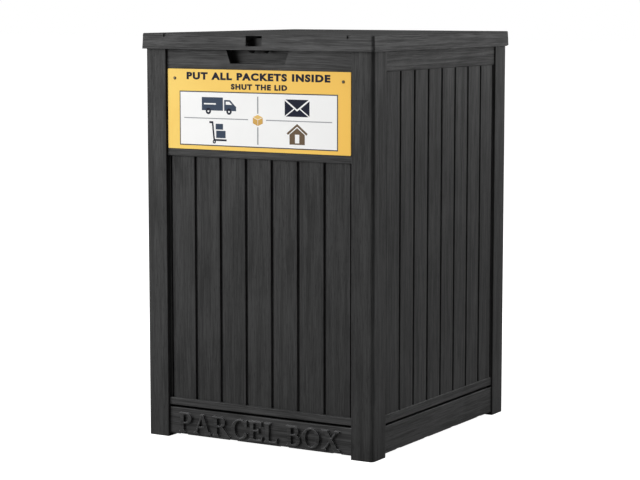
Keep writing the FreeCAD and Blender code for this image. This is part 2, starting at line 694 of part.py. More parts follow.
def floor_panel():
    """A ribbed tray in the shape of a cross: its four corners leave room for the posts."""
    wide = block("floor_wide", (-floor_half, floor_half), (post_line_front, post_line_back), (floor_low,
                                                                                              floor_high))
    long = block("floor_long", (-narrow, narrow), (floor_front, floor_back), (floor_low, floor_high))
    border = s.ledge_depth + 5
    inner_x, inner_y = narrow - border, floor_back - border
    cells = int(s.floor_cells.value)
    pitch_x = (2 * inner_x + s.rib_wall) / s.floor_cells
    pitch_y = (floor_back - floor_front - 2 * border + s.rib_wall) / s.floor_cells
    tools = []
    for column in range(cells):
        for row in range(cells):
            left, near_y = -inner_x + pitch_x * column, floor_front + border + pitch_y * row
            tools.append(block(f"floor_cell_{column}_{row}", (left, left + pitch_x - s.rib_wall),
                               (near_y, near_y + pitch_y - s.rib_wall), (floor_low - 1,
                                                                         floor_high - s.floor_skin)))
    for index, (x, y) in enumerate(floor_screw_places()):
        tools.append(rod(f"floor_hole_{index}", "z", (x, y, floor_low - 1), hole_radius,
                         s.floor_thickness + 2))
    return node("floor_panel", cut("floor_panel", fuse("floor_solid", [wide, long]), tools))


def floor_screw_places():
    """Two screws into the ledge of each plinth board, as (x, y)."""
    ledge_middle = s.plinth_wall + s.ledge_depth / 2
    across_front = floor_screw_share * narrow
    across_side = floor_screw_share * side_span / 2
    places = []
    for edge in (-1, 1):
        places.append((edge * across_front, body_front + s.plinth_recess + ledge_middle))
        places.append((edge * across_front, body_back - s.plinth_recess - ledge_middle))
        for side in (-1, 1):
            places.append((side * (half_width - s.side_plinth_recess - ledge_middle),
                           body_middle + edge * across_side))
    return places


floor_panel()


# ---------------------------------------------------------------- sign plate and its rivets

def sign_plate():
    half = sign_width / 2
    front = body_front + s.front_rail_recess + s.sign_seat - s.sign_thickness
    sheet_metal = block("sign_sheet", (-half, half), (front, front + s.sign_thickness), (sign_bottom,
                                                                                         sign_top))
    holes = [rod(f"sign_hole_{index}", "y", (edge * rivet_x, front - 1, rivet_z),
                 s.rivet_radius + s.rivet_clearance,
                 s.sign_thickness + 2) for index, edge in enumerate((-1, 1))]
    drilled = cut("sign_drilled", sheet_metal, holes)
    return node("sign_plate", rounded("sign_plate", drilled, s.sign_corner, lambda edge,
                                      mid: along_axis(edge, "y")
                                      and near(abs(mid.x), half.value)))


def sign_rivets():
    front = body_front + s.front_rail_recess + s.sign_seat - s.sign_thickness
    rivets = []
    for index, edge in enumerate((-1, 1)):
        head = rod(f"rivet_head_{index}", "y", (edge * rivet_x, front - s.rivet_head, rivet_z),
                   s.rivet_head_radius,
                   s.rivet_head)
        domed = rounded(f"rivet_dome_{index}", head, s.rivet_head * 0.7,
                        lambda edge, mid: near(mid.y, (front - s.rivet_head).value))
        shank = rod(f"rivet_shank_{index}", "y", (edge * rivet_x, front - 0.1, rivet_z), s.rivet_radius,
                    s.rivet_length)
        rivets.append(fuse(f"rivet_{index}", [domed, shank]))
    group = doc.addObject("Part::Compound", "sign_rivets")
    group.Links = rivets
    return node("sign_rivets", group)


sign_plate()
sign_rivets()


# ---------------------------------------------------------------- lid

lid_low, lid_high = rim_bottom, s.overall_height
inner_half = s.overall_width / 2 - s.lid_wall
inner_front = -s.overall_depth / 2 + s.lid_wall
inner_back = s.overall_depth / 2 - s.lid_back_wall
batten_line = half_width - s.post_front_width - s.lid_groove_width / 2
lid_hinge_hole_depth = s.lid_back_wall - s.blind_skin
liner_hole_depth = s.lid_skin - s.blind_skin


def rectangle(half, front, back):
    return [(-half, front), (half, front), (half, back), (-half, back)]


def lid_skin():
    """A tray turned upside down: tapered rim walls under a flat top."""
    body = doc.addObject("PartDesign::Body", "lid_tray")
    outer = outline(body, "lid_outer", "XY", lid_low, rectangle(s.overall_width / 2, -s.overall_depth / 2,
                                                                s.overall_depth / 2))
    doc.recompute()
    pad = body.newObject("PartDesign::Pad", "lid_pad")
    pad.Profile = outer
    pad.setExpression("Length", (lid_high - lid_low).text)
    pad.setExpression("TaperAngle", (-s.lid_draft).text)
    doc.recompute()
    full_volume = body.Shape.Volume
    inner = outline(body, "lid_inner", "XY", lid_low, rectangle(inner_half, inner_front, inner_back))
    doc.recompute()
    pocket = body.newObject("PartDesign::Pocket", "lid_pocket")
    pocket.Profile = inner
    pocket.Reversed = True
    pocket.setExpression("Length", (lid_high - lid_low - s.lid_skin).text)
    doc.recompute()
    if body.Shape.Volume > 0.4 * full_volume:
        raise ValueError("the lid's pocket cut nothing")
    return body


def lid_shell():
    tray = lid_skin()
    doc.recompute()

    def is_corner(edge, mid):
        ends = [vertex.Point for vertex in edge.Vertexes]
        return abs(ends[0].z - ends[-1].z) > 10 and abs(mid.x) > inner_half.value + 0.5

    cornered = rounded("lid_corners", tray, s.lid_corner_radius, is_corner)
    soft = rounded("lid_soft", cornered, s.lid_edge_radius, lambda edge, mid: near(mid.z, lid_high.value))
    pads = [block(f"lid_notch_pad_{index}", (edge * (batten_line - 5), edge * (batten_line + 5)),
                  (inner_front - 0.5, inner_front + s.lid_pad), (lid_high - 9, lid_high - s.lid_skin + 1))
            for index, edge in enumerate((-1, 1))]
    tools = [block("lock_slot", (-s.lock_slot_width / 2, s.lock_slot_width / 2),
                   (-s.overall_depth / 2 - 1, inner_front + 1),
                   (lid_low + s.lock_slot_bottom, lid_low + s.lock_slot_bottom + s.lock_slot_height))]
    for index, edge in enumerate((-1, 1)):
        groove = (edge * (batten_line - s.lid_groove_width / 2),
                  edge * (batten_line + s.lid_groove_width / 2))
        tools.append(block(f"lid_groove_{index}", groove, (-s.overall_depth / 2 - 1, s.overall_depth / 2 + 1),
                           (lid_high - s.lid_groove_depth, lid_high + 1)))
        tools.append(block(f"lid_notch_{index}", groove, (-s.overall_depth / 2 - 1,
                                                          -s.overall_depth / 2 + s.lid_notch_depth + 1),
                           (lid_high - s.lid_notch_height, lid_high + 1)))
    tools += lid_plank_grooves()
    back = s.overall_depth / 2
    tools.append(prism("lid_relief", "YZ", [(back - s.relief_length, lid_low), (back + 1,
                                                                                lid_low + s.relief_height),
                                            (back + 1, lid_low - 2), (back - s.relief_length, lid_low - 2)],
                       (-s.overall_width / 2 - 1, s.overall_width / 2 + 1)))
    for number, centre in enumerate(hinge_centres):
        for index, edge in enumerate((-1, 1)):
            tools.append(rod(f"lid_hinge_hole_{number}_{index}", "y", (centre + edge * hinge_screw_x,
                                                                       inner_back - 1,
                                                                       lid_leaf_screw_z), hole_radius,
                             1 + lid_hinge_hole_depth))
    for index, (x, y) in enumerate(liner_screw_places()):
        tools.append(rod(f"lid_liner_hole_{index}", "z", (x, y, lid_high - s.lid_skin - 1), hole_radius,
                         1 + liner_hole_depth))
    return node("lid_shell", cut("lid_shell", fuse("lid_padded", [soft] + pads), tools))


def lid_plank_grooves():
    """Grooves across the lid's top, between the two long ones, that divide it into planks."""
    half = batten_line - s.lid_groove_width / 2
    low = -s.overall_depth / 2 + s.lid_plank_border
    high = s.overall_depth / 2 - s.lid_plank_border
    pitch = (high - low) / (s.lid_planks - 2)
    grooves = []
    for index in range(int(s.lid_planks.value) - 1):
        middle = low + pitch * index
        grooves.append(block(f"lid_plank_groove_{index}", (-half, half),
                             (middle - s.lid_groove_width / 2, middle + s.lid_groove_width / 2),
                             (lid_high - s.lid_groove_depth, lid_high + 1)))
    return grooves


liner_low = body_top + s.liner_gap
liner_high = lid_high - s.lid_skin
liner_half = inner_half - s.liner_inset
liner_front = -s.overall_depth / 2 + s.liner_front_inset
liner_back = s.overall_depth / 2 - s.liner_back_inset


def liner_screw_places():
    """Six screws up through the ribs of the liner, as (x, y)."""
    pitch_y = (liner_back - liner_front - s.liner_rib) / s.liner_cells_along
    pitch_x = (2 * liner_half - s.liner_rib) / s.liner_cells_across
    places = []
    for row in (1, 2, 3):
        for side in (-1, 1):
            places.append((side * pitch_x, liner_front + s.liner_rib / 2 + pitch_y * row))
    return places


def lid_liner():
    """The lid's inner panel: a flat skin with upstanding ribs and screw bosses that meet the lid's top."""
    solid = block("liner_block", (-liner_half, liner_half), (liner_front, liner_back), (liner_low,
                                                                                        liner_high))
    across, along = int(s.liner_cells_across.value), int(s.liner_cells_along.value)
    pitch_x = (2 * liner_half - s.liner_rib) / s.liner_cells_across
    pitch_y = (liner_back - liner_front - s.liner_rib) / s.liner_cells_along
    cells = []
    for column in range(across):
        for row in range(along):
            left = -liner_half + s.liner_rib + pitch_x * column
            near_y = liner_front + s.liner_rib + pitch_y * row
            cells.append(block(f"liner_cell_{column}_{row}", (left, left + pitch_x - s.liner_rib),
                               (near_y, near_y + pitch_y - s.liner_rib), (liner_low + s.liner_skin,
                                                                          liner_high + 1)))
    pan = cut("liner_pan", solid, cells)
    bosses = [rod(f"liner_boss_{index}", "z", (x, y, liner_low), s.screw_head_radius + 1.5,
                  liner_high - liner_low)
              for index, (x, y) in enumerate(liner_screw_places())]
    holes = [rod(f"liner_hole_{index}", "z", (x, y, liner_low - 1), hole_radius, liner_high - liner_low + 2)
             for index, (x, y) in enumerate(liner_screw_places())]
    return node("lid_liner", cut("lid_liner", fuse("liner_bossed", [pan] + bosses), holes))


# ---------------------------------------------------------------- hinges

hinge_y = inner_back - s.leaf_thickness / 2
rail_face = body_back - s.back_rail_recess
lid_leaf_low = hinge_axis_height + s.knuckle_radius + 1
lid_leaf_screw_z = (lid_leaf_low + lid_leaf_top) / 2
pin_hole = s.hinge_pin_radius + s.hinge_clearance


def hinge(side_name, centre):
    """A butt hinge: two knuckles on the body leaf, one on the lid leaf, and a headed pin through them."""
    half = s.hinge_length / 2
    third = s.hinge_length / 6
    name = f"hinge_{side_name}"
    axis_z = hinge_axis_height
    body_pieces = [block(name + "_body_plate", (centre - half, centre + half), (rail_face,
                                                                                rail_face + s.leaf_thickness),
                         (leaf_bottom, axis_z - s.knuckle_radius - 1))]
    for index, edge in enumerate((-1, 1)):
        inner, outer = centre + edge * (third + s.knuckle_gap), centre + edge * half
        low = inner if edge > 0 else outer
        body_pieces.append(rod(f"{name}_body_knuckle_{index}", "x", (low, hinge_y, axis_z), s.knuckle_radius,
                               half - third - s.knuckle_gap))
        body_pieces.append(block(f"{name}_body_web_{index}", (inner, outer), (rail_face,
                                                                              hinge_y - s.hinge_pin_radius),
                                 (axis_z - s.knuckle_radius - 2, axis_z + 1)))
    bore = rod(name + "_body_bore", "x", (centre - half - 1, hinge_y, axis_z), pin_hole, s.hinge_length + 2)
    body_holes = [rod(f"{name}_body_hole_{index}", "y", (centre + edge * hinge_screw_x, rail_face - 1,
                                                         leaf_screw_z),
                      hole_radius, s.leaf_thickness + 2) for index, edge in enumerate((-1, 1))]
    node(name + "_body_leaf", cut(name + "_body_leaf", fuse(name + "_body_solid", body_pieces),
                                  [bore] + body_holes))

    leaf_front = inner_back - s.leaf_thickness
    lid_pieces = [block(name + "_lid_plate", (centre - half, centre + half), (leaf_front, inner_back),
                        (lid_leaf_low, lid_leaf_top)),
                  block(name + "_lid_web", (centre - third, centre + third), (leaf_front, inner_back),
                        (axis_z + s.hinge_pin_radius, lid_leaf_low + 1)),
                  rod(name + "_lid_knuckle", "x", (centre - third, hinge_y, axis_z), s.knuckle_radius,
                      2 * third)]
    lid_bore = rod(name + "_lid_bore", "x", (centre - third - 1, hinge_y, axis_z), pin_hole, 2 * third + 2)
    lid_holes = [rod(f"{name}_lid_hole_{index}", "y", (centre + edge * hinge_screw_x, leaf_front - 1,
                                                       lid_leaf_screw_z),
                     hole_radius, s.leaf_thickness + 2) for index, edge in enumerate((-1, 1))]
    node(name + "_lid_leaf", cut(name + "_lid_leaf", fuse(name + "_lid_solid", lid_pieces),
                                 [lid_bore] + lid_holes))

    shank = rod(name + "_pin_shank", "x", (centre - half, hinge_y, axis_z), s.hinge_pin_radius,
                s.hinge_length + s.pin_head)
    heads = [rod(name + "_pin_head_left", "x", (centre - half - s.pin_head, hinge_y, axis_z),
                 s.pin_head_radius,
                 s.pin_head),
             rod(name + "_pin_head_right", "x", (centre + half, hinge_y, axis_z), s.pin_head_radius,
                 s.pin_head)]
    node(name + "_pin", fuse(name + "_pin", [shank] + heads))


lid_shell()
lid_liner()
for side_name, centre in zip(("left", "right"), hinge_centres):
    hinge(side_name, centre)


# ---------------------------------------------------------------- lock bracket

def lock_bracket():
    """A moulded bracket in the finger recess: a face plate between two ears that hold a steel cross pin."""
    front, back = body_front - s.bracket_reach, body_front + s.recess_back
    plate_y = body_front + s.bracket_plate_depth
    tip, top = bracket_tip, bracket_top
    profile = [(back, tip + 6), (plate_y + 2, tip), (plate_y - 2, tip), (front, tip + 5), (front, tip + 12),
               (front + 4, tip + 15), (plate_y, top), (plate_y + s.bracket_plate, top), (back,
                                                                                         body_top - 0.5)]
    half = bracket_spread / 2
    pieces = []
    for index, edge in enumerate((-1, 1)):
        pieces.append(prism(f"bracket_ear_{index}", "YZ", profile,
                            (edge * (half - s.ear_thickness / 2), edge * (half + s.ear_thickness / 2))))
    pieces.append(block("bracket_face", (-half, half), (plate_y, plate_y + s.bracket_plate), (tip + 9, top)))
    pieces.append(block("bracket_back", (-half, half), (back - s.bracket_plate, back), (tip + 6,
                                                                                        body_top - 0.5)))
    tools = [rod("bracket_pin_bore", "x", (-half - s.ear_thickness, body_front, lock_pin_height),
                 s.lock_pin_radius + s.lock_pin_clearance, 2 * (half + s.ear_thickness))]
    for index, edge in enumerate((-1, 1)):
        tools.append(rod(f"bracket_back_hole_{index}", "y", (edge * bracket_screw_x,
                                                             back - s.bracket_plate - 1,
                                                             bracket_screw_z), hole_radius,
                                                             s.bracket_plate + 2))
    node("lock_bracket", cut("lock_bracket", fuse("bracket_solid", pieces), tools))
    node("lock_pin", rod("lock_pin", "x", (-half - s.ear_thickness / 2 - 0.8, body_front, lock_pin_height),
                         s.lock_pin_radius, 2 * half + s.ear_thickness + 1.6))


lock_bracket()


# ---------------------------------------------------------------- screws

def screw(name, length):
    """A pan-head screw whose head stands on the plane z = 0 and whose shank runs down -Z."""
    head = rod(name + "_disc", "z", (0, 0, 0), s.screw_head_radius, s.screw_head)
    domed = rounded(name + "_dome", head, s.screw_head * 0.6, lambda edge, mid: near(mid.z,
                                                                                     s.screw_head.value))
    shank = rod(name + "_shank", "z", (0, 0, s.screw_tip - length), s.screw_radius, length - s.screw_tip)
    tip = doc.addObject("Part::Cone", name + "_tip")
    tip.setExpression("Radius1", (s.screw_radius * 0.35).text)
    tip.setExpression("Radius2", s.screw_radius.text)
    tip.setExpression("Height", s.screw_tip.text)
    tip.setExpression("Placement.Base.z", (-length).text)
    bars = [block(f"{name}_drive_{index}", (-wide, wide), (-deep, deep), (s.screw_head * 0.5,
                                                                          s.screw_head + 1))
            for index, (wide, deep) in enumerate(((s.drive_width / 2, s.drive_reach), (s.drive_reach,
                                                                                       s.drive_width / 2)))]
    return cut(name, fuse(name + "_solid", [domed, shank, tip]), bars)


Z_AXIS = Vector(0, 0, 1)


def screws(label, length, places):
    """Equal screws as one node; each place is (x, y, z of the seat, direction its head faces)."""
    master = screw(label + "_master", length)
    doc.recompute()
    copies = []
    for x, y, z, facing in places:
        copy = master.Shape.copy()
        copy.Placement = Placement(Vector(*(Size.of(size).value for size in (x, y, z))), Rotation(Z_AXIS,
                                                                                                  facing))
        copies.append(copy)
    group = doc.addObject("Part::Feature", label)
    group.Shape = Part.makeCompound(copies)
    group.Placement = Placement()
    return node(label, group)


def flange_screws(side_name, span, heights):
    """Screws through both end flanges of a panel into the posts' lips, heads inside the panel."""
    turn, across, along = SIDES[side_name]
    turned = Rotation(Z_AXIS, turn)
    places = []
    for edge in (-1, 1):
        for height in heights:
            local = Vector(edge * (span / 2 - s.flange_wall).value, s.screw_depth.value,
                           Size.of(height).value)
            point = turned.multVec(local) + Vector(Size.of(across).value, Size.of(along).value, 0)
            places.append((point.x, point.y, point.z, turned.multVec(Vector(-edge, 0, 0))))
    return places


plinth_places = []
for side_name in SIDES:
    span = front_span if side_name in ("front", "back") else side_span
    screws(side_name + "_panel_screws", s.screw_length, flange_screws(side_name, span, screw_heights))
    plinth_places += flange_screws(side_name, span, [ear_screw_height])
screws("plinth_screws", s.screw_length, plinth_places)
screws("floor_screws", s.floor_thickness + s.plinth_wall + s.screw_overrun,
       [(x, y, floor_high, Z_AXIS) for x, y in floor_screw_places()])
screws("hinge_body_screws", s.screw_length,
       [(centre + edge * hinge_screw_x, rail_face + s.leaf_thickness, leaf_screw_z, Vector(0, 1, 0))
        for centre in hinge_centres for edge in (-1, 1)])
screws("hinge_lid_screws", s.leaf_thickness + lid_hinge_hole_depth - s.blind_gap,
       [(centre + edge * hinge_screw_x, inner_back - s.leaf_thickness, lid_leaf_screw_z, Vector(0, -1, 0))
        for centre in hinge_centres for edge in (-1, 1)])
screws("liner_screws", liner_high - liner_low + liner_hole_depth - s.blind_gap,
       [(x, y, liner_low, Vector(0, 0, -1)) for x, y in liner_screw_places()])
screws("lock_bracket_screws", s.recess_wall + s.bracket_plate + s.screw_overrun,
       [(edge * bracket_screw_x, body_front + s.recess_back + s.recess_wall, bracket_screw_z, Vector(0, 1, 0))
        for edge in (-1, 1)])


# ---------------------------------------------------------------- checks and files

doc.recompute()
for item in doc.Objects:
    if "Invalid" in item.State or "Error" in item.State:
        raise ValueError(f"{item.Label} did not build: {item.State}")
for item in nodes:
    shape = item.Shape
    if shape.isNull() or not shape.isValid() or not shape.Solids:
        raise ValueError(f"{item.Label} has no valid solid")

os.makedirs("parts", exist_ok=True)
for item in nodes:
    item.Shape.exportStep(f"parts/{item.Label}.step")
    print(item.Label, "solids", len(item.Shape.Solids), "volume cm3", round(item.Shape.Volume / 1000, 1))
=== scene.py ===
"""Looks of a resin parcel drop box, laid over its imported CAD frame. Metres, in the CAD row's own axes."""
import math

import bmesh
import bpy
import numpy as np
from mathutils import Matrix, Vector


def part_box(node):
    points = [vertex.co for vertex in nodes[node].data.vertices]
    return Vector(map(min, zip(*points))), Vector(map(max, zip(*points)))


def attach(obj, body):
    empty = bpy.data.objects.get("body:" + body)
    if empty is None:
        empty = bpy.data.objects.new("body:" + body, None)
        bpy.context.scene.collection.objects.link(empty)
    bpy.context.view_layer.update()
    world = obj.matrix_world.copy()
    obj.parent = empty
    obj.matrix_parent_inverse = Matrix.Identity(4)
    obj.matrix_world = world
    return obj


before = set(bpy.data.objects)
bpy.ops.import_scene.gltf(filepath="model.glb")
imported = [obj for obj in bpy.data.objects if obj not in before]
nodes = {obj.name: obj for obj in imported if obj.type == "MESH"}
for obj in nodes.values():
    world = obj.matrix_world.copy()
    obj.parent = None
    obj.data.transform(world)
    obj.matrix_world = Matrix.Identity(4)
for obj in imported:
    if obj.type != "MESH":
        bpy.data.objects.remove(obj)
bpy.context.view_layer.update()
scene = bpy.context.scene
MM = 0.001

# The front face of the sign plate, and the width over which its colour drifts.
SIGN_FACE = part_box("sign_plate")[0].y
SIGN_SPAN = 0.355

# The rows of planks: their widths, and the heights where they start and end.
FRONT_SPAN = 0.3545
SIDE_SPAN = 0.395
PLANK_LOW = 0.0684
PLANK_BELOW_SIGN = 0.4838
PLANK_HIGH = 0.631

# How far from the middle the side borders of the lid's top start.
LID_BORDER = 0.1775


# ---------------------------------------------------------------- node helpers

def plug(tree, node, sockets):
    """A node's input sockets, by name or number, linked to a socket or set to a value."""
    for name, value in sockets.items():
        if isinstance(value, bpy.types.NodeSocket):
            tree.links.new(value, node.inputs[name])
        else:
            node.inputs[name].default_value = value


def add(tree, kind, sockets=None, **settings):
    """A new node with its settings and its input sockets."""
    node = tree.nodes.new(kind)
    for name, value in settings.items():
        setattr(node, name, value)
    plug(tree, node, sockets or {})
    return node


def calc(tree, operation, first, second=0.0, third=0.0, clamp=False):
    """A Math node's result."""
    sockets = {0: first, 1: second, 2: third}
    return add(tree, "ShaderNodeMath", sockets, operation=operation, use_clamp=clamp).outputs[0]


def blended(tree, factor, first, second, kind="FLOAT"):
    """A Mix node's result, between first at factor 0 and second at factor 1."""
    ends = {"FLOAT": (2, 3, 0), "VECTOR": (4, 5, 1), "RGBA": (6, 7, 2)}[kind]
    node = add(tree, "ShaderNodeMix", {0: factor, ends[0]: first, ends[1]: second}, data_type=kind)
    return node.outputs[ends[2]]


def stepped(tree, value, low, high, bottom=0.0, top=1.0):
    """A value carried smoothly from bottom to top while it goes from low to high."""
    sockets = {"Value": value, "From Min": low, "From Max": high, "To Min": bottom, "To Max": top}
    return add(tree, "ShaderNodeMapRange", sockets, interpolation_type="SMOOTHSTEP").outputs[0]


def group(name, inputs, outputs):
    """A shader node group with named inputs (name, kind, start value) and outputs (name, kind)."""
    tree = bpy.data.node_groups.new(name, "ShaderNodeTree")
    for label, kind, start in inputs:
        socket = tree.interface.new_socket(label, in_out="INPUT", socket_type="NodeSocket" + kind)
        if start is not None:
            socket.default_value = start
    for label, kind in outputs:
        tree.interface.new_socket(label, in_out="OUTPUT", socket_type="NodeSocket" + kind)
    return tree, tree.nodes.new("NodeGroupInput").outputs, tree.nodes.new("NodeGroupOutput").inputs


def use(tree, made, sockets):
    """A group placed in a tree, with its sockets. Its outputs come back."""
    node = tree.nodes.new("ShaderNodeGroup")
    node.node_tree = made
    plug(tree, node, sockets)
    return node.outputs


def noise(tree, vector, scale, detail, roughness=0.55, distortion=0.0):
    """A Noise Texture's value, from 0 to 1."""
    sockets = {"Vector": vector, "Scale": scale, "Detail": detail, "Roughness": roughness}
    return add(tree, "ShaderNodeTexNoise", {**sockets, "Distortion": distortion}).outputs[0]


def scaled(tree, vector, factors):
    """A vector with each part times its own factor."""
    return add(tree, "ShaderNodeVectorMath", {0: vector, 1: factors}, operation="MULTIPLY").outputs[0]


def parts_of(tree, vector):
    """A vector's X, Y and Z."""
    return add(tree, "ShaderNodeSeparateXYZ", {0: vector}).outputs


# ---------------------------------------------------------------- shared effects

def make_grain():
    """Moulded wood grain on coordinates already stretched along the board: streaks, drift and pores.
    Tone is the shares of streaks and drift together, sharpened, less the pores. Height is the streaks
    less the pores."""
    tree, given, result = group(
        "moulded_grain",
        [("Vector", "Vector", None), ("Pores", "Float", 0.5)],
        [("Tone", "Float"), ("Height", "Float")],
    )
    drift_pace = (0.13, 0.13, 0.31)
    pore_pace = (1.7, 1.7, 4.2)
    streak_share = 0.62
    drift_share = 0.38
    pore_depth = 0.7
    streaks = noise(tree, given["Vector"], 1.0, 4.0, 0.62, 0.5)
    drift = noise(tree, scaled(tree, given["Vector"], drift_pace), 1.0, 2.0, 0.5, 0.8)
    dashes = noise(tree, scaled(tree, given["Vector"], pore_pace), 1.0, 1.0, 0.5, 0.2)
    pores = calc(tree, "MULTIPLY", stepped(tree, dashes, 0.6, 0.68), given["Pores"])
    tone = calc(tree, "MULTIPLY_ADD", streaks, streak_share, calc(tree, "MULTIPLY", drift, drift_share))
    sharp = stepped(tree, tone, 0.34, 0.66)
    sunk = calc(tree, "MULTIPLY", pores, pore_depth)
    tree.links.new(calc(tree, "SUBTRACT", sharp, pores, clamp=True), result["Tone"])
    tree.links.new(calc(tree, "SUBTRACT", streaks, sunk), result["Height"])
    return tree


def make_speckle():
    """Fine mould texture and handling marks: small pits, and wide soft patches."""
    tree, given, result = group(
        "mould_speckle",
        [("Vector", "Vector", None), ("Pits", "Float", 900.0)],
        [("Pits", "Float"), ("Patches", "Float")],
    )
    tree.links.new(noise(tree, given["Vector"], given["Pits"], 2.0, 0.6), result["Pits"])
    patches = noise(tree, given["Vector"], 7.0, 3.0, 0.6, 0.4)
    tree.links.new(stepped(tree, patches, 0.35, 0.68), result["Patches"])
    return tree


def make_edges():
    """Softened edges: a normal that turns round each edge, and a mask that is 1 along the edges."""
    tree, given, result = group(
        "soft_edges",
        [("Radius", "Float", 0.0006)],
        [("Normal", "Vector"), ("Edge", "Float")],
    )
    rounded = add(tree, "ShaderNodeBevel", {"Radius": given["Radius"]}, samples=4).outputs[0]
    flat = add(tree, "ShaderNodeNewGeometry").outputs["Normal"]
    turn = add(tree, "ShaderNodeVectorMath", {0: rounded, 1: flat}, operation="DOT_PRODUCT")
    tree.links.new(rounded, result["Normal"])
    tree.links.new(stepped(tree, turn.outputs["Value"], 0.99, 0.8), result["Edge"])
    return tree


grain = make_grain()
speckle = make_speckle()
edges = make_edges()


# ---------------------------------------------------------------- materials

def material(name):
    """An empty material, its tree, its shader and its object coordinates."""
    made = bpy.data.materials.new(name)
    made.use_nodes = True
    tree = made.node_tree
    shader = tree.nodes["Principled BSDF"]
    place = add(tree, "ShaderNodeTexCoord")
    return made, tree, shader, place


def join(tree, shader, **links):
    """Links to the shader's sockets, whose names are written with _ for a space."""
    for name, source in links.items():
        tree.links.new(source, shader.inputs[name.replace("_", " ")])


# The resin's colour in its darkest streaks, and in the palest of upright and of level boards; the paler
# colour of level boards is a painted sheen.
GRAIN_DARK = (0.0002, 0.0002, 0.0002)
UPRIGHT = (0.033, 0.033, 0.0331)
LEVEL_SHEEN = (0.058, 0.058, 0.0584)

# How many times the grain changes in a metre: across a board, and along it.
STREAK = 680.0
RUN = 17.0
ALONG = {
    "x": (RUN, STREAK, STREAK),
    "y": (STREAK, RUN, STREAK),
    "z": (STREAK, STREAK, RUN),
}


def stretched(tree, place, along, shift=(0.0, 0.0, 0.0)):
    """Object coordinates shifted and scaled for grain along an axis."""
    sockets = {"Vector": place.outputs["Object"], "Location": shift, "Scale": ALONG[along]}
    return add(tree, "ShaderNodeMapping", sockets).outputs[0]


def resin(vector, tree, shader, place, level=0.0, dull=0.0, radius=0.0007, highlight_tone=0.05, highlight_shares=(0.45, 0.45)):
    """Dark moulded resin with grain: the tone sets colour and gloss, and the height a fine relief. Level
    boards, where level is 1, are painted a little paler than upright ones, a painted sheen. Dull is added
    to the roughness. Edges of the given radius are painted paler, towards the highlight paleness, as a
    painted highlight: by the first of the shares where they face down or sideways and by the second where
    they face up."""
    grain_share = 0.78
    patch_share = 0.22
    marks = use(tree, grain, {"Vector": vector, "Pores": 0.55})
    spots = use(tree, speckle, {"Vector": place.outputs["Object"], "Pits": 1300.0})
    rounded = use(tree, edges, {"Radius": radius})
    streaks = calc(tree, "MULTIPLY", marks["Tone"], grain_share)
    tone = calc(tree, "MULTIPLY_ADD", spots["Patches"], patch_share, streaks)
    # Level boards are painted paler than upright ones: a painted sheen.
    sheen_pale = blended(tree, level, (*UPRIGHT, 1.0), (*LEVEL_SHEEN, 1.0), "RGBA")
    base = blended(tree, tone, (*GRAIN_DARK, 1.0), sheen_pale, "RGBA")
    upward = parts_of(tree, rounded["Normal"])["Z"]
    # Painted highlight: edges are painted paler, more where they face up.
    edge_highlight = calc(tree, "MULTIPLY", rounded["Edge"], stepped(tree, upward, 0.0, 0.5, *highlight_shares))
    base = blended(tree, edge_highlight, base, (highlight_tone, highlight_tone, highlight_tone * 1.03, 1.0), "RGBA")
    height = calc(tree, "MULTIPLY_ADD", spots["Pits"], 0.16, marks["Height"])
    bump = add(tree, "ShaderNodeBump", {
        "Strength": 0.55, "Distance": 0.00025, "Height": height, "Normal": rounded["Normal"]
    })
    roughness = calc(tree, "ADD", stepped(tree, tone, 0.0, 1.0, 0.56, 0.4), dull)
    shader.inputs["Specular IOR Level"].default_value = 0.34
    join(tree, shader, Base_Color=base, Roughness=roughness, Normal=bump.outputs[0])


def post_resin():
    """Grain up the posts."""
    made, tree, shader, place = material("post_grain")
    resin(stretched(tree, place, "z", (3.0, 7.0, 1.0)), tree, shader, place)
    return made


def board_vector(tree, place, across, planks, span, low, high):
    """Grain that runs up the planks between low and high, and along the rails above and below. Each plank
    has a piece of grain of its own. The second result is 1 on the rails and 0 on the planks."""
    spot = parts_of(tree, place.outputs["Object"])
    count = calc(tree, "MULTIPLY_ADD", spot[across.upper()], planks / span, planks / 2)
    number = calc(tree, "FLOOR", count)
    shift = add(tree, "ShaderNodeTexWhiteNoise", {"W": number}, noise_dimensions="1D").outputs["Color"]
    jump = scaled(tree, shift, (40.0, 40.0, 40.0))
    up = stretched(tree, place, "z")
    upright = add(tree, "ShaderNodeVectorMath", {0: up, 1: jump}, operation="ADD").outputs[0]
    level = stretched(tree, place, across)
    above = calc(tree, "GREATER_THAN", spot["Z"], low)
    below = calc(tree, "LESS_THAN", spot["Z"], high)
    inside = calc(tree, "MULTIPLY", above, below)
    return blended(tree, inside, level, upright, "VECTOR"), calc(tree, "SUBTRACT", 1.0, inside)


def panel_resin(name, across, planks, span, low, high):
    """Grain for a wall of planks between two rails."""
    made, tree, shader, place = material(name)
    vector, level = board_vector(tree, place, across, planks, span, low, high)
    # The rails, where level is 1, take the paler colour of level boards: a painted sheen.
    resin(vector, tree, shader, place, level)
    return made


def level_resin(name, along):
    """Grain along a plinth, painted with the paler sheen of level boards and with a painted highlight on
    the upper edges of the board and its capitals.
    """
    made, tree, shader, place = material(name)
    vector = stretched(tree, place, along, (1.0, 5.0, 2.0))
    resin(vector, tree, shader, place, 1.0, radius=0.0012, highlight_tone=0.3, highlight_shares=(0.05, 0.95))
    return made


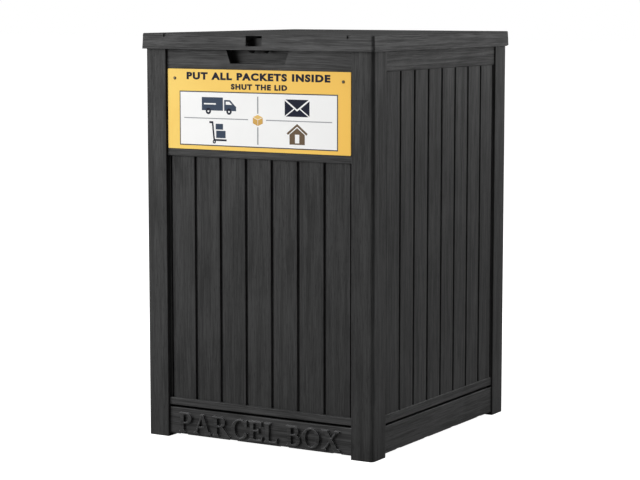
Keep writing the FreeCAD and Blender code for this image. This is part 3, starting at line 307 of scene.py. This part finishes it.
def lid_resin():
    """Grain along the rim's own length on every side, and along the boards of the top."""
    made, tree, shader, place = material("lid_grain")
    facing = parts_of(tree, place.outputs["Normal"])
    spot = parts_of(tree, place.outputs["Object"])
    sideways = calc(tree, "GREATER_THAN", calc(tree, "ABSOLUTE", facing["X"]), 0.7)
    border = calc(tree, "GREATER_THAN", calc(tree, "ABSOLUTE", spot["X"]), LID_BORDER)
    upward = calc(tree, "GREATER_THAN", facing["Z"], 0.5)
    lengthways = calc(tree, "MAXIMUM", sideways, calc(tree, "MULTIPLY", border, upward))
    vector = blended(tree, lengthways, stretched(tree, place, "x"), stretched(tree, place, "y"), "VECTOR")
    # Painted shade: the top is painted darker than the front, and the sides partly so.
    painted_shade = calc(tree, "MULTIPLY_ADD", sideways, 0.45, upward)
    level = calc(tree, "SUBTRACT", 1.0, painted_shade, clamp=True)
    resin(vector, tree, shader, place, level, calc(tree, "MULTIPLY", upward, 0.3))
    return made


def moulded(name, dark, light, rough, pits):
    """Plain moulded plastic: a fine pitted skin with wide soft patches."""
    made, tree, shader, place = material(name)
    spots = use(tree, speckle, {"Vector": place.outputs["Object"], "Pits": pits})
    rounded = use(tree, edges, {"Radius": 0.0005})
    base = blended(tree, spots["Patches"], (*dark, 1.0), (*light, 1.0), "RGBA")
    # Painted highlight: the edges are painted paler.
    edge_highlight = calc(tree, "MULTIPLY", rounded["Edge"], 0.3)
    base = blended(tree, edge_highlight, base, (0.05, 0.05, 0.05, 1.0), "RGBA")
    bump = add(tree, "ShaderNodeBump", {
        "Strength": 0.4, "Distance": 0.0001, "Height": spots["Pits"], "Normal": rounded["Normal"]
    })
    roughness = stepped(tree, spots["Patches"], 0.0, 1.0, *rough)
    join(tree, shader, Base_Color=base, Roughness=roughness, Normal=bump.outputs[0])
    return made


def steel(name, colour, rough, brush):
    """Steel: fine brushed or turned lines, a slightly uneven gloss, and edges painted brighter as a painted
    highlight.
    """
    made, tree, shader, place = material(name)
    brushed = add(tree, "ShaderNodeMapping", {"Vector": place.outputs["Object"], "Scale": brush}).outputs[0]
    lines = noise(tree, brushed, 1.0, 3.0, 0.6)
    spots = use(tree, speckle, {"Vector": place.outputs["Object"], "Pits": 1500.0})
    rounded = use(tree, edges, {"Radius": 0.0003})
    dull = tuple(0.62 * part for part in colour)
    # Painted highlight: the edges are painted paler.
    edge_highlight = calc(tree, "MULTIPLY", rounded["Edge"], 0.5)
    base = blended(tree, stepped(tree, lines, 0.3, 0.7), (*dull, 1.0), (*colour, 1.0), "RGBA")
    base = blended(tree, edge_highlight, base, (0.86, 0.86, 0.84, 1.0), "RGBA")
    bump = add(tree, "ShaderNodeBump", {
        "Strength": 0.3, "Distance": 0.00006, "Height": lines, "Normal": rounded["Normal"]
    })
    roughness = stepped(tree, spots["Patches"], 0.0, 1.0, *rough)
    shader.inputs["Metallic"].default_value = 1.0
    join(tree, shader, Base_Color=base, Roughness=roughness, Normal=bump.outputs[0])
    return made


def ink(name, first, second, gloss=0.22):
    """Printed film: a colour that drifts from left to right, with the faint tooth of the plate."""
    made, tree, shader, place = material(name)
    across = parts_of(tree, place.outputs["Object"])["X"]
    spots = use(tree, speckle, {"Vector": place.outputs["Object"], "Pits": 1800.0})
    drift = calc(tree, "MULTIPLY_ADD", across, 1.0 / SIGN_SPAN, 0.5, clamp=True)
    base = blended(tree, drift, (*first, 1.0), (*second, 1.0), "RGBA")
    worn = tuple(0.93 * part for part in second)
    wear = calc(tree, "MULTIPLY", spots["Patches"], 0.35)
    base = blended(tree, wear, base, (*worn, 1.0), "RGBA")
    bump = add(tree, "ShaderNodeBump", {"Strength": 0.25, "Distance": 0.00004, "Height": spots["Pits"]})
    roughness = stepped(tree, spots["Pits"], 0.3, 0.7, 0.37, 0.47)
    shader.inputs["Specular IOR Level"].default_value = gloss
    join(tree, shader, Base_Color=base, Roughness=roughness, Normal=bump.outputs[0])
    return made


def rgb(red, green, blue):
    """Display numbers from 11 to 255 as linear light, by the display's own curve."""
    return tuple(((part / 255 + 0.055) / 1.055) ** 2.4 for part in (red, green, blue))


finishes = {
    "post": post_resin(),
    "front": panel_resin("front_panel_grain", "x", 7, FRONT_SPAN, PLANK_LOW, PLANK_BELOW_SIGN),
    "back": panel_resin("back_panel_grain", "x", 7, FRONT_SPAN, PLANK_LOW, PLANK_HIGH),
    "side": panel_resin("side_panel_grain", "y", 8, SIDE_SPAN, PLANK_LOW, PLANK_HIGH),
    "level_x": level_resin("plinth_grain_across", "x"),
    "level_y": level_resin("plinth_grain_along", "y"),
    "lid": lid_resin(),
    "inner": moulded("inner_skin", (0.012,) * 3, (0.022,) * 3, (0.5, 0.62), 900.0),
    "black": moulded("bracket_skin", (0.006,) * 3, (0.012,) * 3, (0.38, 0.5), 1500.0),
    "amber": ink("sign_amber", rgb(255, 217, 112), rgb(255, 203, 92)),
    "hinge": steel("hinge_steel_brushed", (0.42, 0.43, 0.44), (0.26, 0.42), (40.0, 2600.0, 2600.0)),
    "bright": steel("screw_steel_turned", (0.6, 0.6, 0.61), (0.2, 0.34), (900.0, 900.0, 900.0)),
    "rivet": steel("rivet_dark_bronze", (0.1, 0.085, 0.06), (0.3, 0.45), (900.0, 900.0, 900.0)),
}


def finish_for(name):
    """The finish of a CAD node, by its name."""
    if name.startswith("corner_post"):
        return "post"
    if name.endswith("screws"):
        return "bright"
    if name.startswith("hinge"):
        return "hinge"
    if name.endswith("panel") and name != "floor_panel":
        return {"front_panel": "front", "back_panel": "back"}.get(name, "side")
    if name.endswith("plinth"):
        return "level_x" if name in ("front_plinth", "back_plinth") else "level_y"
    special = {
        "lid_shell": "lid", "sign_plate": "amber", "sign_rivets": "rivet", "lock_bracket": "black",
        "lock_pin": "bright", "lid_liner": "inner", "floor_panel": "inner",
    }
    return special[name]


for name, node in nodes.items():
    for slot in node.material_slots or [None]:
        if slot is None:
            node.data.materials.append(finishes[finish_for(name)])
        else:
            slot.material = finishes[finish_for(name)]


# ---------------------------------------------------------------- the sign's print

# The thickness of a layer of ink in metres, and the distance in millimetres below which points merge.
INK = 0.00012
MERGE = 0.0001


def laid(name, curve, finish, lift, fit=None):
    """A flat curve or text made a thin closed mesh on the sign's face. Its x and y become the sign's x and
    z, and fit, in millimetres, stretches it to (left, bottom, right, top). Lift is the number of its layer
    of ink, counted from the sign's face."""
    shape = bpy.data.objects.new(name + "_outline", curve)
    scene.collection.objects.link(shape)
    bpy.context.view_layer.update()
    mesh = bpy.data.meshes.new_from_object(shape.evaluated_get(bpy.context.evaluated_depsgraph_get()))
    bpy.data.objects.remove(shape)
    joined = bmesh.new()
    joined.from_mesh(mesh)
    bmesh.ops.remove_doubles(joined, verts=joined.verts, dist=MERGE)
    bmesh.ops.recalc_face_normals(joined, faces=joined.faces)
    joined.to_mesh(mesh)
    joined.free()
    flat = np.empty(len(mesh.vertices) * 3)
    mesh.vertices.foreach_get("co", flat)
    flat = flat.reshape(-1, 3)
    if fit:
        low, high = flat[:, :2].min(0), flat[:, :2].max(0)
        ends = np.array(fit).reshape(2, 2)
        flat[:, :2] = ends[0] + (flat[:, :2] - low) / (high - low) * (ends[1] - ends[0])
    depth = flat[:, 2] / max(np.ptp(flat[:, 2]), 1e-9) * INK
    place = np.column_stack((flat[:, 0] * MM, SIGN_FACE - (lift - 0.5) * INK - depth, flat[:, 1] * MM))
    mesh.vertices.foreach_set("co", place.ravel())
    mesh.update()
    mesh.name = name
    mesh.materials.clear()
    mesh.materials.append(finish)
    piece = bpy.data.objects.new(name, mesh)
    scene.collection.objects.link(piece)
    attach(piece, "box")


def printed(name, loops, finish, lift):
    """Closed outlines in millimetres on the sign, filled. An outline inside another is a hole."""
    curve = bpy.data.curves.new(name, "CURVE")
    curve.dimensions = "2D"
    curve.fill_mode = "BOTH"
    curve.extrude = 0.5
    for loop in loops:
        points = np.asarray(loop, float)
        spline = curve.splines.new("POLY")
        spline.points.add(len(points) - 1)
        flat = np.column_stack((points, np.zeros(len(points)), np.ones(len(points))))
        spline.points.foreach_set("co", flat.ravel())
        spline.use_cyclic_u = True
    laid(name, curve, finish, lift)


def written(name, words, finish, fit):
    """A line of bold capitals stretched to its place."""
    text = bpy.data.curves.new(name, "FONT")
    text.body = words
    text.size = 14.0
    text.extrude = 0.5
    text.offset = 0.8
    text.space_character = 1.2
    text.resolution_u = 4
    laid(name, text, finish, 1, fit)


def oblong(left, bottom, right, top):
    """The corners of a rectangle."""
    return [(left, bottom), (right, bottom), (right, top), (left, top)]


def disc(x, z, radius):
    """A circle drawn with 28 points."""
    turn = np.linspace(0, 2 * np.pi, 28, endpoint=False)
    return np.column_stack((x + radius * np.cos(turn), z + radius * np.sin(turn)))


def moved(loops, place):
    """Outlines drawn about zero, carried to their place on the sign."""
    return [np.asarray(loop, float) + place for loop in loops]


white = ink("sign_white", rgb(254, 254, 253), rgb(252, 252, 251))
line_grey = ink("sign_line_grey", rgb(150, 152, 156), rgb(150, 152, 156))
border = ink("sign_outline_slate", rgb(62, 66, 76), rgb(62, 66, 76))
navy = ink("sign_navy", rgb(26, 30, 48), rgb(26, 30, 48), gloss=0.1)
slate = ink("sign_slate", rgb(46, 62, 84), rgb(46, 62, 84))
brown = ink("sign_brown", rgb(104, 84, 62), rgb(104, 84, 62))
tan = ink("sign_tan", rgb(236, 196, 112), rgb(236, 196, 112))
tan_dark = ink("sign_tan_dark", rgb(214, 168, 84), rgb(214, 168, 84))

# Places on the sign are in millimetres: x from the middle of the box, z from the ground.
PANEL = (-152.0, 505.0, 152.0, 592.4)
RULE = 1.8
CARTON_PLACE = (1.4, 548.6)
VAN_PLACE = (-75.0, 571.5)
LETTER_PLACE = (77.0, 571.0)
HAND_TRUCK_PLACE = (-75.0, 527.6)
HOUSE_PLACE = (77.0, 527.0)

outline = oblong(PANEL[0] - RULE, PANEL[1] - RULE, PANEL[2] + RULE, PANEL[3] + RULE)
printed("sign_panel_outline", [outline], border, 1)
printed("sign_panel", [oblong(*PANEL)], white, 2)
printed("sign_cross_lines", [
    oblong(0.3, 559.5, 2.5, 587.6), oblong(0.3, 508.5, 2.5, 537.2),
    oblong(-144.5, 548.5, -17.6, 550.0), oblong(17.4, 548.5, 143.0, 550.0),
], line_grey, 3)
written("sign_heading_upper", "PUT ALL PACKETS INSIDE", navy, (-139.5, 613.3, 139.5, 625.9))
written("sign_heading_lower", "SHUT THE LID", navy, (-51.0, 598.1, 58.0, 607.6))

carton_top = [(0, 9), (9.2, 5.2), (0, 1.2), (-9.2, 5.2)]
carton_left = [(-9.6, 4.4), (-0.4, 0.4), (-0.4, -9.2), (-9.6, -5.0)]
carton_right = [(0.4, 0.4), (9.6, 4.4), (9.6, -5.0), (0.4, -9.2)]
printed("sign_carton_light", moved([carton_top], CARTON_PLACE), tan, 3)
printed("sign_carton_dark", moved([carton_left, carton_right], CARTON_PLACE), tan_dark, 3)

van_body = [(-34, -9), (-34, 13), (8, 13), (8, -9)]
van_cab = [(10.5, -9), (10.5, 9), (22, 9), (32, -0.5), (34, -2), (34, -9)]
van_window = [(13.5, 1.2), (13.5, 6.4), (20.6, 6.4), (26.2, 1.2)]
van_mark = [(-30, 0.8), (-6, 0.8), (-6, 3.2), (-30, 3.2)]
van_wheels = [disc(x, -10, radius) for radius in (5.2, 2) for x in (-21, 20)]
printed("sign_van", moved([van_body, van_cab, van_window, van_mark], VAN_PLACE), slate, 3)
printed("sign_van_wheels", moved(van_wheels, VAN_PLACE), navy, 4)

flap = [(-22, 13.5), (22, 13.5), (0, -2.5)]
cover_left = [(-23.5, 11.4), (-6.6, -1.2), (-23.5, -13.5)]
cover_right = [(23.5, 11.4), (6.6, -1.2), (23.5, -13.5)]
cover_base = [(-21.6, -14.5), (-4.8, -2.4), (0, -5.8), (4.8, -2.4), (21.6, -14.5)]
printed("sign_letter", moved([flap, cover_left, cover_right, cover_base], LETTER_PLACE), navy, 3)

truck = [
    (-15, 17), (-11.5, 17), (-8.2, -12.6), (15, -12.6), (15, -15.6), (-11, -15.6),
    (-14, 13.6), (-19, 13.6), (-19, 17),
]
load_low = oblong(-5.6, -10.6, 13, 1.6)
load_high = oblong(-6.6, 3.4, 8, 13)
truck_wheel = [disc(-9.4, -17.0, radius) for radius in (3.1, 1.1)]
printed("sign_hand_truck", moved([truck], HAND_TRUCK_PLACE), navy, 3)
printed("sign_hand_truck_wheel", moved(truck_wheel, HAND_TRUCK_PLACE), navy, 4)
printed("sign_hand_truck_load", moved([load_low, load_high], HAND_TRUCK_PLACE), slate, 3)

roof = [(-20, 2.4), (0, 18), (20, 2.4), (17.6, -0.4), (0, 13.6), (-17.6, -0.4)]
walls = [(-14.5, -16), (-14.5, 0.2), (0, 11.4), (14.5, 0.2), (14.5, -16)]
door = oblong(-4.2, -13.6, 4.2, 0.6)
printed("sign_house", moved([roof, walls, door], HOUSE_PLACE), brown, 3)


# ---------------------------------------------------------------- camera, light and floor

BOX_MIDDLE = Vector((0.0, 0.0, 0.35))
CAMERA_PLACE = (1.7974, -3.0832, 0.7481)
CAMERA_DOWN = 6.747
CAMERA_TURN = 30.533
CAMERA_LENS = 114.91


def floor_material():
    """A pale matt floor that shines white to the camera only."""
    made, tree, shader, place = material("studio_floor")
    drift = noise(tree, place.outputs["Object"], 1.2, 2.0)
    base = blended(tree, drift, (0.48, 0.48, 0.48, 1.0), (0.5, 0.5, 0.5, 1.0), "RGBA")
    join(tree, shader, Base_Color=base)
    shader.inputs["Roughness"].default_value = 0.9
    shader.inputs["Specular IOR Level"].default_value = 0.1
    path = add(tree, "ShaderNodeLightPath")
    shader.inputs["Emission Color"].default_value = (1.0, 1.0, 1.0, 1.0)
    join(tree, shader, Emission_Strength=path.outputs["Is Camera Ray"])
    return made


def make_floor():
    """A square floor just under the feet."""
    half = 30.0
    gap = 0.0004
    corners = [(-half, -half, 0), (half, -half, 0), (half, half, 0), (-half, half, 0)]
    mesh = bpy.data.meshes.new("studio_floor")
    mesh.from_pydata(corners, [], [(0, 1, 2, 3)])
    mesh.materials.append(floor_material())
    floor = bpy.data.objects.new("studio_floor", mesh)
    floor.location.z = -gap
    scene.collection.objects.link(floor)


def softbox(name, azimuth, distance, height, width, tall, power):
    """A soft light that faces the middle of the box, at an azimuth from the front towards the right."""
    light = bpy.data.lights.new(name, "AREA")
    light.shape = "RECTANGLE"
    light.size, light.size_y = width, tall
    light.energy = power
    lamp = bpy.data.objects.new(name, light)
    turn = math.radians(azimuth)
    lamp.location = (distance * math.sin(turn), -distance * math.cos(turn), height)
    lamp.rotation_euler = (BOX_MIDDLE - lamp.location).to_track_quat("-Z", "Y").to_euler()
    lamp.visible_camera = False
    scene.collection.objects.link(lamp)


def make_world():
    """White to the camera and dim to everything else, so that the dark sides of the box stay dark."""
    world = bpy.data.worlds.new("studio")
    world.use_nodes = True
    tree = world.node_tree
    path = add(tree, "ShaderNodeLightPath")
    strength = blended(tree, path.outputs["Is Camera Ray"], 0.16, 1.0)
    background = tree.nodes["Background"]
    background.inputs["Color"].default_value = (1.0, 1.0, 1.0, 1.0)
    tree.links.new(strength, background.inputs["Strength"])
    scene.world = world


def make_camera():
    """A long lens in front and to the right, a little above the lid and looking slightly down."""
    camera = bpy.data.cameras.new("camera")
    camera.lens = CAMERA_LENS
    camera.sensor_width = 36.0
    seat = bpy.data.objects.new("camera", camera)
    seat.location = CAMERA_PLACE
    seat.rotation_euler = (math.radians(90 - CAMERA_DOWN), 0.0, math.radians(CAMERA_TURN))
    scene.collection.objects.link(seat)
    scene.camera = seat


make_floor()
softbox("front_left_light", azimuth=-43.0, distance=3.2, height=1.5, width=2.6, tall=2.2, power=88.0)
softbox("right_back_light", azimuth=146.0, distance=3.2, height=1.5, width=2.2, tall=2.2, power=29.0)
softbox("top_light", azimuth=0.0, distance=0.01, height=3.6, width=4.0, tall=4.0, power=110.0)
make_world()
make_camera()
scene.view_settings.view_transform = "Standard"
